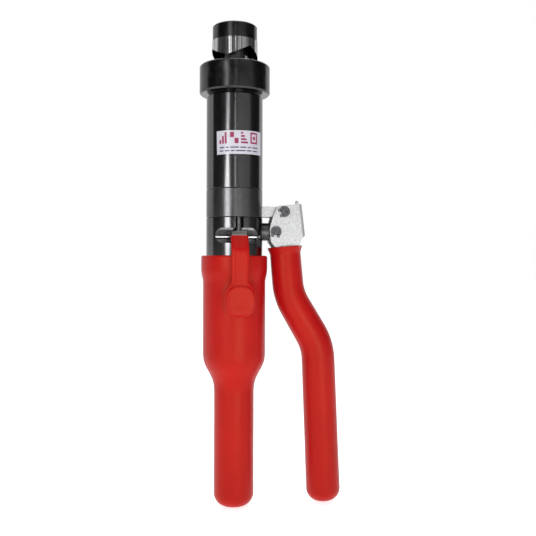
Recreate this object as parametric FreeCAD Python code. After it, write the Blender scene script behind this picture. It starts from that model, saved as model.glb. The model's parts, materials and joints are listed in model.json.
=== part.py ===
"""Hand-operated hydraulic knock-out tool: punch and die on a draw cylinder, pumped by a side lever.

Frame: +Z runs up the tool's axis towards the punch, +X points to the pump lever, -Y is the front,
where the release lever hangs. The origin is on the axis, in the die's top face. Millimetres.
"""
import FreeCAD, Part
import math
import os

V = FreeCAD.Vector
UP = V(0, 0, 1)
ALONG_X = V(1, 0, 0)
ALONG_Y = V(0, 1, 0)

# ---------------------------------------------------------------- driving dimensions
RUN = 0.05                    # radial clearance of a running fit
GAP = 0.30                    # clearance between neighbours that move apart
SEAM_CHAMFER = 0.5            # broken edge on each side of a joint line

# tool axis, heights above the die's top face
PUNCH_TOP = 34.8
BAND_TOP = 21.8               # upper edge of the ground band
EDGE_VALLEY = 14.7            # cutting edge, highest and lowest points
EDGE_PEAK = 6.1
DIE_BOTTOM = -25.0
TUBE_TOP = -27.1
TUBE_BOTTOM = -108.5          # swivel joint line
HEAD_BOTTOM = -133.2          # joint line between pump head and pump block
BLOCK_BOTTOM = -186.0
SLEEVE_TOP = -166.0
HANDLE_BOTTOM = -385.0

# head
PUNCH_R = 19.5
BAND_R = 20.0
TEETH = 3
FIRST_TOOTH = -26.0           # degrees from the front, towards the lever
DIE_R = 30.8
DIE_BORE_R = 20.2
DIE_DEPTH = 17.0
STUD_R = 9.0
ROD_R = 10.0

# cylinder
TUBE_R = 24.6
BORE_R = 20.0
COLLAR_R = 21.0
HEAD_NOSE_R = 11.9            # boss that centres the die
SPINDLE_R = 9.0
PISTON_TOP = -45.0
PISTON_BOTTOM = -57.0
SPRING_FLOOR = -96.0
SPRING_WIRE_R = 1.6
SPRING_COIL_R = 14.5

# label
LABEL_TOP = -59.6
LABEL_BOTTOM = -80.3
LABEL_AZIMUTH = 7.5
LABEL_HALF_ANGLE = 51.5
LABEL_THICK = 0.15

# pump
FULCRUM = V(42.8, 0, -127.4)  # pivot of the lever
CRANK = V(35.5, 0, -144.8)    # pin that drives the plunger, lever closed
LEVER_OPEN = 50.0             # degrees
PIN_R = 3.0
PLUNGER_R = 5.0
PLUNGER_TIP_X = 5.0
BARREL_R = 6.6
BOSS_R = 7.8
BOSS_FACE_X = 30.9
CHEEK_IN = 8.2                # half distances across the bracket
CHEEK_OUT = 10.4
BLOCK_HALF_WIDTH = CHEEK_IN - GAP
BLOCK_HALF_HEIGHT = 4.5
VALVE_X = 3.0                 # pump valves stand on this line, on the mid plane
VALVE_BALL_R = 2.4
VALVE_BORE_R = 3.0

# release lever
POCKET_Z = -149.0
POCKET_HALF_HEIGHT = 6.5
POCKET_HALF_LENGTH = 18.1
POCKET_FLOOR_Y = -9.0
RELEASE_PIN = V(0, -14.0, -150.0)
RELEASE_PIN_R = 1.9
RELEASE_PIN_HALF = 18.4       # the pin's hole is blind on the far side, open on the lever's side
RELEASE_X = 1.8               # the release lever hangs this far off the mid plane
STEM_Y = -20.0
STEM_R = 2.5
NOSE_TOP = -145.2
NOSE_FRONT = -22.5
NOSE_HALF_WIDTH = 6.2
SHANK_Y = -31.8
STRIP_HALF = 1.2              # half thickness of the steel strip
COAT = 1.0                    # dip coat on the release lever
SHANK_HALF_WIDTH = 7.5
PADDLE_HALF_WIDTH = 13.2
PADDLE_TOP = -190.9
PADDLE_BOTTOM = -218.0

# handle
SLEEVE_FLARE_R = 29.1
SLEEVE_BODY_R = 27.3
SLEEVE_GRIP_R = 17.4
SLEEVE_THICK = 2.6
SHOULDER_TOP = -254.5
SHOULDER_BOTTOM = -278.5
SPIGOT_R = 11.8
SPIGOT_BOTTOM = -222.0
SHOULDER_FILLET = 14.0
SPIGOT_TOP = -200.0           # underside of the block's stepped neck
NECK_INSET = 2.2              # the neck is this much smaller than the tube
RESERVOIR_BOTTOM = -379.0
BLADDER_R = 11.0
BLADDER_BOTTOM = -366.0
BLADDER_TOP = -204.0
BLADDER_TAPER_LOW = -236.0    # the bladder widens to its mouth between these two heights
BLADDER_TAPER_HIGH = -228.0
BLADDER_WALL = 1.4
FILLER_R = 5.0
FILLER_LENGTH = 8.0
FILLER_KEY_R = 2.4
FILLER_KEY_DEPTH = 3.5
RESERVOIR_WALL = 2.2
RESERVOIR_FLOOR = -370.0
SLEEVE_NECK_Z = -188.1        # the flare of the sleeve's mouth starts here
SLEEVE_FLARE_Z = -180.2
COAT_SIDE = 2.5               # vinyl beyond the strip's side edges
PAD_INSET = 1.3               # raised thumb face, in from the paddle's outline
PAD_HEIGHT = 1.2
COAT_TOP = -149.8
NOSE_HUB_R = 4.2

# lever grip: corners of its centre line, with the radius of the grip at each
GRIP_TOP = V(45.0, 0, -157.6)
GRIP_KNEE = V(48.8, 0, -200.8)
GRIP_ANKLE = V(75.1, 0, -245.4)
GRIP_END = V(80.8, 0, -384.0)
GRIP_BEND_R = 50.0
GRIP_TOP_R = 13.5
GRIP_KNEE_R = 13.9
GRIP_ANKLE_R = 14.6
GRIP_END_R = 15.0
LIP_R = 15.4
LIP_LENGTH = 6.0
LEVER_TUBE_R = 12.4
LEVER_TUBE_IN_R = 10.8
TUBE_SET_IN = 1.0             # the lever tube starts this far below the grip's rim


# ---------------------------------------------------------------- helpers
def cyl(radius, start, length, direction=UP):
    return Part.makeCylinder(radius, length, start, direction)


def z_cyl(radius, low, high, x=0.0, y=0.0):
    return cyl(radius, V(x, y, low), high - low)


def ring(outer, inner, low, high, x=0.0, y=0.0):
    return z_cyl(outer, low, high, x, y).cut(z_cyl(inner, low, high, x, y))


def fuse(shapes):
    whole = shapes[0]
    for shape in shapes[1:]:
        whole = whole.fuse(shape)
    return whole.removeSplitter()


def cut(shape, tools):
    for tool in tools:
        shape = shape.cut(tool)
    return shape


def rounded_wire(corners, place):
    """Closed wire through corners (a, b, radius); place turns (a, b) into a point."""
    points = [place(a, b) for a, b, _ in corners]
    count = len(points)
    starts = []
    ends = []
    arcs = []
    for i in range(count):
        here = points[i]
        radius = corners[i][2]
        back = (points[i - 1] - here).normalize()
        ahead = (points[(i + 1) % count] - here).normalize()
        if radius == 0:
            starts.append(here)
            ends.append(here)
            arcs.append(None)
            continue
        half = back.getAngle(ahead) / 2
        reach = radius / math.tan(half)
        middle = (back + ahead).normalize() * (radius / math.sin(half) - radius)
        starts.append(here + back * reach)
        ends.append(here + ahead * reach)
        arcs.append(here + middle)
    edges = []
    for i in range(count):
        if arcs[i] is not None:
            edges.append(Part.Arc(starts[i], arcs[i], ends[i]).toShape())
        nxt = starts[(i + 1) % count]
        if (nxt - ends[i]).Length > 1e-6:
            edges.append(Part.LineSegment(ends[i], nxt).toShape())
    return Part.Wire(edges)


def turned(corners):
    """Solid of revolution about the tool's axis from corners (radius, height, corner radius)."""
    wire = rounded_wire(corners, lambda r, z: V(r, 0, z))
    return Part.Face(wire).revolve(V(0, 0, 0), UP, 360)


def turned_bar(radius, low, high, low_chamfer=SEAM_CHAMFER, high_chamfer=SEAM_CHAMFER):
    """Solid bar on the tool's axis with chamfered ends."""
    return turned([
        (0, low, 0),
        (radius - low_chamfer, low, 0),
        (radius, low + low_chamfer, 0),
        (radius, high - high_chamfer, 0),
        (radius - high_chamfer, high, 0),
        (0, high, 0),
    ])


def front_plate(corners, low_y, high_y):
    """Plate with its outline seen from the front, corners (x, z, corner radius)."""
    wire = rounded_wire(corners, lambda x, z: V(x, low_y, z))
    return Part.Face(wire).extrude(V(0, high_y - low_y, 0))


def cross_plate(corners, low_x, high_x):
    """Plate with its outline in the plane across the lever's, corners (y, z, corner radius)."""
    wire = rounded_wire(corners, lambda y, z: V(low_x, y, z))
    return Part.Face(wire).extrude(V(high_x - low_x, 0, 0))


def coil(coil_r, wire_r, turns, low, high, x=0.0, y=0.0):
    """Round-wire spring on a vertical axis; its outermost points are low and high."""
    height = high - low - 2 * wire_r
    helix = Part.makeHelix(height / turns, height, coil_r)
    circle = Part.Circle(V(coil_r, 0, 0), ALONG_Y, wire_r)
    spring = Part.Wire(helix).makePipeShell([Part.Wire(circle.toShape())], True, True)
    spring.translate(V(x, y, low + wire_r))
    return spring


def o_ring(mean_r, section_r, z):
    return Part.makeTorus(mean_r, section_r, V(0, 0, z), UP)


def front_point(azimuth, radius):
    """Point at an angle from the front (-Y) towards the lever (+X)."""
    turn = math.radians(azimuth)
    return V(radius * math.sin(turn), -radius * math.cos(turn), 0)


nodes = {}

# ---------------------------------------------------------------- punch, die and draw stud
HUB_R = 11.6
CUP_R = 16.2
CUP_ROOF = 26.0
HUB_BOTTOM = 9.5
STUD_TOP = PUNCH_TOP - 2.0
STUD_BOTTOM = -40.0
ROD_TOP = -19.5


def roof_prism(azimuth):
    """Triangular prism whose ridge runs out along an azimuth; it leaves two flanks of a tooth."""
    reach = 1.6
    half = BAND_R * math.sin(math.radians(180 / TEETH)) * reach
    drop = (EDGE_VALLEY - EDGE_PEAK) * reach
    triangle = [V(-half, 0, EDGE_VALLEY - drop), V(half, 0, EDGE_VALLEY - drop), V(0, 0, EDGE_VALLEY)]
    face = Part.Face(Part.makePolygon(triangle + triangle[:1]))
    prism = face.extrude(V(0, -2 * BAND_R, 0))
    prism.rotate(V(0, 0, 0), UP, azimuth)
    return prism


def make_punch():
    step = 0.35
    body = turned([
        (0, EDGE_PEAK, 0),
        (BAND_R, EDGE_PEAK, 0),
        (BAND_R, BAND_TOP - step, 0),
        (PUNCH_R, BAND_TOP, 0),
        (PUNCH_R, PUNCH_TOP - 0.9, 0),
        (PUNCH_R - 0.9, PUNCH_TOP, 0),
        (0, PUNCH_TOP, 0),
    ])
    hollow = ring(CUP_R, HUB_R, EDGE_PEAK - 1, CUP_ROOF)
    below_hub = z_cyl(CUP_R, EDGE_PEAK - 1, HUB_BOTTOM)
    thread = z_cyl(STUD_R + RUN, EDGE_PEAK - 1, PUNCH_TOP + 1)
    valleys = [roof_prism(FIRST_TOOTH + (n + 0.5) * 360 / TEETH) for n in range(TEETH)]
    return cut(body, [hollow, below_hub, thread] + valleys)


def make_die():
    edge = 1.3
    body = turned([
        (HEAD_NOSE_R + RUN, DIE_BOTTOM, 0),
        (DIE_R - edge, DIE_BOTTOM, 0),
        (DIE_R, DIE_BOTTOM + edge, 0),
        (DIE_R, -edge, edge * 0.6),
        (DIE_R - edge, 0, edge * 0.6),
        (DIE_BORE_R, 0, 0),
        (DIE_BORE_R, -DIE_DEPTH, 0.8),
        (HEAD_NOSE_R + RUN, -DIE_DEPTH, 0),
    ])
    return body


def make_stud():
    end = 1.2
    slot_half = 1.1
    body = turned_bar(STUD_R - RUN, STUD_BOTTOM, STUD_TOP, end, end)
    slot = Part.makeBox(3 * STUD_R, 2 * slot_half, 3.0, V(-1.5 * STUD_R, -slot_half, STUD_TOP - 2.5))
    relief = ring(STUD_R + 1, STUD_R - 0.9, ROD_TOP + 0.3, ROD_TOP + 3.0)
    return cut(body, [slot, relief])


nodes["punch"] = make_punch()
nodes["die"] = make_die()
nodes["draw_stud"] = make_stud()

# ---------------------------------------------------------------- draw cylinder
NECK_R = 8.0
NUT_BOTTOM = -67.0
SEAL_SECTION = 1.3
HEAD_SPIGOT_BOTTOM = -42.0
ROD_SEAL_Z = -33.0
WIPER_TOP = -24.6
WIPER_BOTTOM = -27.2
OIL_WAY_R = 1.2
OIL_WAY_RADIUS = 22.3
SPINDLE_BOTTOM = -124.0
SWIVEL_SEALS = (-112.5, -117.5)


def make_piston_rod():
    rod = turned_bar(ROD_R, PISTON_TOP, ROD_TOP, 0.3, 0.8)
    neck = turned_bar(NECK_R, NUT_BOTTOM - 1.5, PISTON_TOP, 0.8, 0.01)
    socket = z_cyl(STUD_R, STUD_BOTTOM - 1.0, ROD_TOP + 1)
    return cut(fuse([rod, neck]), [socket])


def make_piston():
    middle = (PISTON_TOP + PISTON_BOTTOM) / 2
    body = turned_bar(BORE_R - RUN, PISTON_BOTTOM, PISTON_TOP, 0.8, 0.8)
    bore = z_cyl(NECK_R, PISTON_BOTTOM - 1, PISTON_TOP + 1)
    groove = ring(BORE_R + 1, BORE_R - 3.4, middle - 2.0, middle + 2.0)
    return cut(body, [bore, groove])


def make_piston_seal():
    middle = (PISTON_TOP + PISTON_BOTTOM) / 2
    return ring(BORE_R - 0.02, BORE_R - 3.4, middle - 2.0, middle + 2.0)


def make_piston_nut():
    across = 11.5
    turns = [k * math.pi / 3 for k in range(7)]
    corners = [V(across * math.cos(t), across * math.sin(t), NUT_BOTTOM) for t in turns]
    hexagon = Part.Face(Part.makePolygon(corners)).extrude(V(0, 0, PISTON_BOTTOM - NUT_BOTTOM))
    return hexagon.cut(z_cyl(NECK_R, NUT_BOTTOM - 1, PISTON_BOTTOM + 1))


def make_cylinder_tube():
    body = turned_bar(TUBE_R, TUBE_BOTTOM, TUBE_TOP, SEAM_CHAMFER, 0.8)
    bore = z_cyl(BORE_R, TUBE_BOTTOM - 1, TUBE_TOP + 1)
    oil_way = z_cyl(OIL_WAY_R, TUBE_BOTTOM - 1, -44.5, 0, OIL_WAY_RADIUS)
    port = cyl(OIL_WAY_R, V(0, BORE_R - 1, -44.5 + 0.2), OIL_WAY_RADIUS - BORE_R + 1, ALONG_Y)
    return cut(body, [bore, oil_way, port])


def make_cylinder_head():
    body = turned([
        (ROD_R + RUN, DIE_BOTTOM + 3.6, 0),
        (ROD_R + RUN, HEAD_SPIGOT_BOTTOM, 0),
        (BORE_R - RUN, HEAD_SPIGOT_BOTTOM, 0),
        (BORE_R - RUN, TUBE_TOP, 0),
        (COLLAR_R, TUBE_TOP, 0),
        (COLLAR_R, DIE_BOTTOM, 0),
        (HEAD_NOSE_R, DIE_BOTTOM, 0),
        (HEAD_NOSE_R, DIE_BOTTOM + 3.6, 0),
    ])
    seal_groove = ring(ROD_R + 3.0, ROD_R, ROD_SEAL_Z - 2.2, ROD_SEAL_Z + 2.2)
    wiper_groove = ring(ROD_R + 1.8, ROD_R, WIPER_BOTTOM, WIPER_TOP)
    o_groove = ring(BORE_R + 1, BORE_R - 2 * SEAL_SECTION, -39.4, -36.6)
    return cut(body, [seal_groove, wiper_groove, o_groove])


def make_cylinder_base():
    """Screwed plug that closes the cylinder, with the spindle that the whole head turns on."""
    plug = turned_bar(BORE_R - RUN, TUBE_BOTTOM, SPRING_FLOOR, 0.01, 0.8)
    spindle = turned_bar(SPINDLE_R, SPINDLE_BOTTOM, TUBE_BOTTOM, 0.8, 0.01)
    oil_way = z_cyl(OIL_WAY_R * 1.3, -125.0, -103.0)
    cross_way = cyl(OIL_WAY_R, V(0, 0, -103.5), BORE_R + 1, ALONG_Y)
    ring_groove = ring(SPINDLE_R + 1, SPINDLE_R - 1.3, -122.6, -121.0)
    seal_grooves = [ring(SPINDLE_R + 1, SPINDLE_R - 1.9, z - 1.3, z + 1.3) for z in SWIVEL_SEALS]
    body = fuse([plug, spindle])
    return cut(body, [oil_way, cross_way, ring_groove] + seal_grooves)


nodes["piston_rod"] = make_piston_rod()
nodes["piston"] = make_piston()
nodes["piston_seal"] = make_piston_seal()
nodes["piston_nut"] = make_piston_nut()
nodes["return_spring"] = coil(SPRING_COIL_R, SPRING_WIRE_R, 5, SPRING_FLOOR + 0.02, PISTON_BOTTOM - 0.02)
nodes["cylinder_tube"] = make_cylinder_tube()
nodes["cylinder_head"] = make_cylinder_head()
nodes["cylinder_base"] = make_cylinder_base()
nodes["rod_seal"] = ring(ROD_R + 3.0, ROD_R + 0.02, ROD_SEAL_Z - 2.2, ROD_SEAL_Z + 2.2)
nodes["rod_wiper"] = ring(ROD_R + 1.8, ROD_R + 0.02, WIPER_BOTTOM, WIPER_TOP)
nodes["cylinder_head_o_ring"] = o_ring(BORE_R - SEAL_SECTION - 0.02, SEAL_SECTION - 0.02, -38.0)
nodes["swivel_o_rings"] = Part.makeCompound([o_ring(SPINDLE_R - 0.95, 0.95, z) for z in SWIVEL_SEALS])


def make_label():
    outer = TUBE_R + LABEL_THICK
    shell = ring(outer, TUBE_R, LABEL_BOTTOM, LABEL_TOP)
    reach = 2 * TUBE_R
    left = front_point(LABEL_AZIMUTH - LABEL_HALF_ANGLE, reach)
    right = front_point(LABEL_AZIMUTH + LABEL_HALF_ANGLE, reach)
    ahead = front_point(LABEL_AZIMUTH, 2 * reach)
    fan = Part.Face(Part.makePolygon([V(0, 0, 0), left, ahead, right, V(0, 0, 0)]))
    sector = fan.extrude(V(0, 0, LABEL_TOP - LABEL_BOTTOM))
    sector.translate(V(0, 0, LABEL_BOTTOM))
    return shell.common(sector)


nodes["rating_label"] = make_label()

# ---------------------------------------------------------------- pump head and pump block
SCREW_CIRCLE = 16.0
SCREW_ANGLES = (65.0, 125.0, 185.0)
SCREW_R = 2.5
SCREW_HEAD_R = 4.2
SCREW_HEAD_TOP = TUBE_BOTTOM - 0.6
SCREW_HEAD_HEIGHT = 5.0
SCREW_BOTTOM = -145.0
SPIGOT_PIN_R = 4.2
SPIGOT_PIN_X = 13.0
CLIP_TOP = -121.1
CLIP_BOTTOM = -122.5
STEM_TOP = -122.0
STEM_BORE_TOP = -109.8
DELIVERY_BALL_Z = HEAD_BOTTOM + 1.1
DELIVERY_TOP = -126.0
SUCTION_TOP = -150.6
SUCTION_BOTTOM = -166.0
SUCTION_BALL_Z = -162.4
SEAT_BOTTOM = -171.0
RELIEF_Z = -175.0
RELIEF_X = -TUBE_R + 0.6


def screw_places():
    for angle in SCREW_ANGLES:
        turn = math.radians(angle)
        yield SCREW_CIRCLE * math.cos(turn), SCREW_CIRCLE * math.sin(turn)


def make_pump_head():
    body = turned_bar(TUBE_R, HEAD_BOTTOM, TUBE_BOTTOM)
    tools = [
        z_cyl(SPINDLE_R + RUN, SPINDLE_BOTTOM - 0.6, TUBE_BOTTOM + 1),
        ring(SPINDLE_R + 1.2, SPINDLE_R, CLIP_BOTTOM, CLIP_TOP),
        z_cyl(VALVE_BORE_R, HEAD_BOTTOM - 1, DELIVERY_TOP, VALVE_X),
        z_cyl(OIL_WAY_R, DELIVERY_TOP - 1, SPINDLE_BOTTOM, VALVE_X),
        z_cyl(STEM_R + RUN, HEAD_BOTTOM - 1, STEM_BORE_TOP, RELEASE_X, STEM_Y),
        cyl(SPIGOT_PIN_R, V(SPIGOT_PIN_X, 0, FULCRUM.z), TUBE_R, ALONG_X),
    ]
    for x, y in screw_places():
        tools.append(z_cyl(SCREW_R + RUN, HEAD_BOTTOM - 1, TUBE_BOTTOM + 1, x, y))
        tools.append(z_cyl(SCREW_HEAD_R + 0.1, SCREW_HEAD_TOP - SCREW_HEAD_HEIGHT, TUBE_BOTTOM + 1, x, y))
    return cut(body, tools)


def pocket():
    """Milled pocket with round ends for the release lever, and the groove above it for the stem."""
    end_x = POCKET_HALF_LENGTH
    high = POCKET_HALF_HEIGHT
    corner = high - 0.01
    slot = front_plate([
        (-end_x, POCKET_Z - high, corner),
        (end_x, POCKET_Z - high, corner),
        (end_x, POCKET_Z + high, corner),
        (-end_x, POCKET_Z + high, corner),
    ], -2 * TUBE_R, POCKET_FLOOR_Y)
    groove = z_cyl(STEM_R + 0.9, POCKET_Z, HEAD_BOTTOM + 1, RELEASE_X, STEM_Y - 0.6)
    mouth = Part.makeBox(2 * STEM_R + 1.8, 10, HEAD_BOTTOM - POCKET_Z + 1,
                         V(RELEASE_X - STEM_R - 0.9, STEM_Y - 10.6, POCKET_Z))
    return slot.fuse(groove).fuse(mouth)


def make_pump_block():
    body = fuse([
        turned_bar(TUBE_R, BLOCK_BOTTOM, HEAD_BOTTOM),
        turned_bar(TUBE_R - NECK_INSET, SPIGOT_TOP, BLOCK_BOTTOM + 0.01, 0.8, 0.01),
        turned_bar(SPIGOT_R, SPIGOT_BOTTOM, SPIGOT_TOP + 0.1, 1.0, 0.01),
    ])
    tools = [
        pocket(),
        cyl(RELEASE_PIN_R, V(-RELEASE_PIN_HALF, RELEASE_PIN.y, RELEASE_PIN.z), 2 * TUBE_R, ALONG_X),
        cyl(PLUNGER_R + RUN, V(PLUNGER_TIP_X - 4, 0, CRANK.z), TUBE_R, ALONG_X),
        cyl(BARREL_R, V(9.0, 0, CRANK.z), TUBE_R, ALONG_X),
        z_cyl(VALVE_BORE_R * 0.5, CRANK.z, HEAD_BOTTOM + 1, VALVE_X),
        z_cyl(VALVE_BORE_R, SUCTION_BOTTOM, SUCTION_TOP, VALVE_X),
        z_cyl(VALVE_BORE_R * 0.6, SUCTION_TOP - 1, CRANK.z, VALVE_X),
        z_cyl(VALVE_BORE_R + 1.2, SEAT_BOTTOM, SUCTION_BOTTOM + 0.1, VALVE_X),
        z_cyl(OIL_WAY_R * 1.5, SPIGOT_BOTTOM - 1, SEAT_BOTTOM + 1, VALVE_X),
        cyl(3.6, V(-TUBE_R - 1, 0, RELIEF_Z), TUBE_R - 5, ALONG_X),
        cyl(OIL_WAY_R, V(-7.0, 0, RELIEF_Z), 12.0, ALONG_X),
    ]
    for x, y in screw_places():
        tools.append(z_cyl(SCREW_R, SCREW_BOTTOM, HEAD_BOTTOM + 1, x, y))
    return cut(body, tools)


def make_head_screws():
    screws = []
    socket_r = 2.2
    for x, y in screw_places():
        head = z_cyl(SCREW_HEAD_R, SCREW_HEAD_TOP - SCREW_HEAD_HEIGHT, SCREW_HEAD_TOP, x, y)
        shank = z_cyl(SCREW_R, SCREW_BOTTOM, SCREW_HEAD_TOP - 1, x, y)
        socket = z_cyl(socket_r, SCREW_HEAD_TOP - 2.6, SCREW_HEAD_TOP + 1, x, y)
        screws.append(head.fuse(shank).cut(socket))
    return Part.makeCompound(screws)


def make_swivel_clip():
    clip = ring(SPINDLE_R + 1.1, SPINDLE_R - 1.2, CLIP_BOTTOM, CLIP_TOP)
    gap = Part.makeBox(2.4, 2 * SPINDLE_R, 3, V(-1.2, 0, CLIP_BOTTOM - 0.5))
    return clip.cut(gap)


def make_fulcrum_block():
    """Plated link that carries the lever's pivot, held to the pump head by its round spigot."""
    z = FULCRUM.z
    high = BLOCK_HALF_HEIGHT
    end_x = FULCRUM.x + high
    body = front_plate([
        (SPIGOT_PIN_X + 4, z - high, 0),
        (end_x, z - high, high - 0.01),
        (end_x, z + high, high - 0.01),
        (SPIGOT_PIN_X + 4, z + high, 0),
    ], -BLOCK_HALF_WIDTH, BLOCK_HALF_WIDTH)
    outside = body.cut(z_cyl(TUBE_R + 0.01, z - 2 * high, z + 2 * high))
    spigot = cyl(SPIGOT_PIN_R, V(SPIGOT_PIN_X + 0.5, 0, z), TUBE_R - SPIGOT_PIN_X, ALONG_X)
    hole = cyl(PIN_R + RUN, V(FULCRUM.x, -CHEEK_OUT, z), 2 * CHEEK_OUT, ALONG_Y)
    return fuse([outside, spigot]).cut(hole)


def make_pump_barrel():
    inner = cyl(BARREL_R, V(9.0, 0, CRANK.z), BOSS_FACE_X - 9.0, ALONG_X)
    boss = cyl(BOSS_R, V(TUBE_R - 2.0, 0, CRANK.z), BOSS_FACE_X - TUBE_R + 2.0, ALONG_X)
    flat = [e for e in boss.Edges if e.BoundBox.XLength < 0.01]
    edge = [e for e in flat if abs(e.BoundBox.XMin - BOSS_FACE_X) < 0.01]
    boss = boss.makeFillet(1.0, edge)
    body = boss.cut(z_cyl(TUBE_R + 0.01, CRANK.z - 20, CRANK.z + 20)).fuse(inner)
    bore = cyl(PLUNGER_R + RUN, V(0, 0, CRANK.z), 2 * TUBE_R, ALONG_X)
    seal_groove = cyl(PLUNGER_R + 1.2, V(26.0, 0, CRANK.z), 2.6, ALONG_X)
    return cut(body, [bore, seal_groove])


def make_plunger_seal():
    outer = cyl(PLUNGER_R + 1.2, V(26.0, 0, CRANK.z), 2.6, ALONG_X)
    return outer.cut(cyl(PLUNGER_R + 0.02, V(25.0, 0, CRANK.z), 5.0, ALONG_X))


nodes["pump_head"] = make_pump_head()
nodes["pump_block"] = make_pump_block()
nodes["pump_head_screws"] = make_head_screws()
nodes["swivel_clip"] = make_swivel_clip()
nodes["fulcrum_block"] = make_fulcrum_block()
nodes["pump_barrel"] = make_pump_barrel()
nodes["plunger_seal"] = make_plunger_seal()
nodes["delivery_valve_ball"] = Part.makeSphere(VALVE_BALL_R, V(VALVE_X, 0, DELIVERY_BALL_Z + 1.1))
spring_low = DELIVERY_BALL_Z + 1.4 + VALVE_BALL_R
nodes["delivery_valve_spring"] = coil(2.1, 0.3, 4, spring_low, DELIVERY_TOP, VALVE_X)
nodes["suction_valve_ball"] = Part.makeSphere(VALVE_BALL_R, V(VALVE_X, 0, SUCTION_BALL_Z))
nodes["suction_valve_spring"] = coil(2.1, 0.3, 6, SUCTION_BALL_Z + VALVE_BALL_R + 0.3, SUCTION_TOP, VALVE_X)


def make_suction_seat():
    body = z_cyl(VALVE_BORE_R + 1.2, SEAT_BOTTOM, SUCTION_BOTTOM, VALVE_X)
    cone = Part.makeCone(1.3, 2.3, 1.4, V(VALVE_X, 0, SUCTION_BOTTOM - 1.4))
    return cut(body, [cone, z_cyl(1.3, SEAT_BOTTOM - 1, SUCTION_BOTTOM - 1, VALVE_X)])


nodes["suction_valve_seat"] = make_suction_seat()
nodes["relief_valve_ball"] = Part.makeSphere(2.0, V(-7.7, 0, RELIEF_Z))


def make_relief_spring():
    spring = coil(2.0, 0.45, 5, 0, 8.0)
    spring.rotate(V(0, 0, 0), ALONG_Y, -90)
    spring.translate(V(-9.9, 0, RELIEF_Z))
    return spring


def make_relief_screw():
    body = cyl(3.6, V(RELIEF_X, 0, RELIEF_Z), 5.6, ALONG_X)
    slot = Part.makeBox(1.4, 9, 1.2, V(RELIEF_X - 0.2, -4.5, RELIEF_Z - 0.6))
    rim = z_cyl(TUBE_R, RELIEF_Z - 6, RELIEF_Z + 6)
    return body.common(rim).cut(slot)


nodes["relief_valve_spring"] = make_relief_spring()
nodes["relief_valve_screw"] = make_relief_screw()

# ---------------------------------------------------------------- release lever and valve stem
PADDLE_CORNER = 9.0
STRIP_TOP = V(0, -25.0, -150.0)
STRIP_BEND = V(0, SHANK_Y, -162.0)


def strip_outline(half, top, bottom):
    """Side outline (y, z, corner radius) of the bent strip, thickened to half on each side."""
    slope = (STRIP_BEND.y - STRIP_TOP.y) / (STRIP_BEND.z - STRIP_TOP.z)
    angle = math.atan(slope)
    across = half / math.cos(angle)
    shift = half * math.tan(angle / 2)
    top_y = STRIP_TOP.y + (top - STRIP_TOP.z) * slope
    return [
        (top_y - across, top, 0),
        (SHANK_Y - half, STRIP_BEND.z + shift, 6.0),
        (SHANK_Y - half, bottom, 0),
        (SHANK_Y + half, bottom, 0),
        (SHANK_Y + half, STRIP_BEND.z - shift, 3.0),
        (top_y + across, top, 0),
    ]


def paddle_outline(half_shank, half_paddle, top, bottom, corner, shank_top):
    neck = 5.0
    return [
        (RELEASE_X - half_shank, shank_top, 0),
        (RELEASE_X - half_shank, top, neck * 0.4),
        (RELEASE_X - half_paddle, top, min(corner, half_paddle - half_shank) * 0.75),
        (RELEASE_X - half_paddle, bottom, corner),
        (RELEASE_X + half_paddle, bottom, corner),
        (RELEASE_X + half_paddle, top, min(corner, half_paddle - half_shank) * 0.75),
        (RELEASE_X + half_shank, top, neck * 0.4),
        (RELEASE_X + half_shank, shank_top, 0),
    ]


def strip(half, half_shank, half_paddle, top, inset, corner):
    side = cross_plate(strip_outline(half, top, PADDLE_BOTTOM + inset), -40, 40)
    paddle_low = PADDLE_BOTTOM + inset
    paddle_high = PADDLE_TOP - inset
    outline = paddle_outline(half_shank, half_paddle, paddle_high, paddle_low, corner, top + 1)
    return side.common(front_plate(outline, -60, 0))


def make_release_lever():
    hub_end = V(RELEASE_X - NOSE_HALF_WIDTH, RELEASE_PIN.y, RELEASE_PIN.z)
    hub = cyl(NOSE_HUB_R, hub_end, 2 * NOSE_HALF_WIDTH, ALONG_X)
    nose = cross_plate([
        (RELEASE_PIN.y, NOSE_TOP, 0),
        (RELEASE_PIN.y, -153.2, 0),
        (-22.0, -153.2, 2.0),
        (-25.6, -151.2, 0),
        (NOSE_FRONT - 1.4, -148.6, 0),
        (NOSE_FRONT, NOSE_TOP, 0.8),
    ], RELEASE_X - NOSE_HALF_WIDTH, RELEASE_X + NOSE_HALF_WIDTH)
    shank = SHANK_HALF_WIDTH - COAT_SIDE
    paddle = PADDLE_HALF_WIDTH - COAT_SIDE
    blade = strip(STRIP_HALF, shank, paddle, POCKET_Z, COAT_SIDE, PADDLE_CORNER - COAT_SIDE)
    hole = cyl(RELEASE_PIN_R + RUN, V(-TUBE_R, RELEASE_PIN.y, RELEASE_PIN.z), 2 * TUBE_R, ALONG_X)
    return fuse([hub, nose, blade]).cut(hole)


def make_release_grip(core):
    """Dip coat over the strip, with a raised thumb face on the paddle."""
    half = STRIP_HALF + COAT
    coat = strip(half, SHANK_HALF_WIDTH, PADDLE_HALF_WIDTH, COAT_TOP, 0.0, PADDLE_CORNER)
    face_y = SHANK_Y - half
    left = RELEASE_X - PADDLE_HALF_WIDTH + PAD_INSET
    right = RELEASE_X + PADDLE_HALF_WIDTH - PAD_INSET
    low = PADDLE_BOTTOM + PAD_INSET
    high = PADDLE_TOP - PAD_INSET
    corner = PADDLE_CORNER - PAD_INSET
    outline = [(left, low, corner), (right, low, corner), (right, high, corner), (left, high, corner)]
    pad = front_plate(outline, face_y - PAD_HEIGHT, face_y + 0.2)
    return fuse([coat, pad]).cut(core)


def make_stem():
    body = z_cyl(STEM_R, NOSE_TOP + 0.1, STEM_TOP, RELEASE_X, STEM_Y)
    groove = ring(STEM_R + 1, STEM_R - 0.7, -131.0, -129.6, RELEASE_X, STEM_Y)
    return body.cut(groove)


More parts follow.
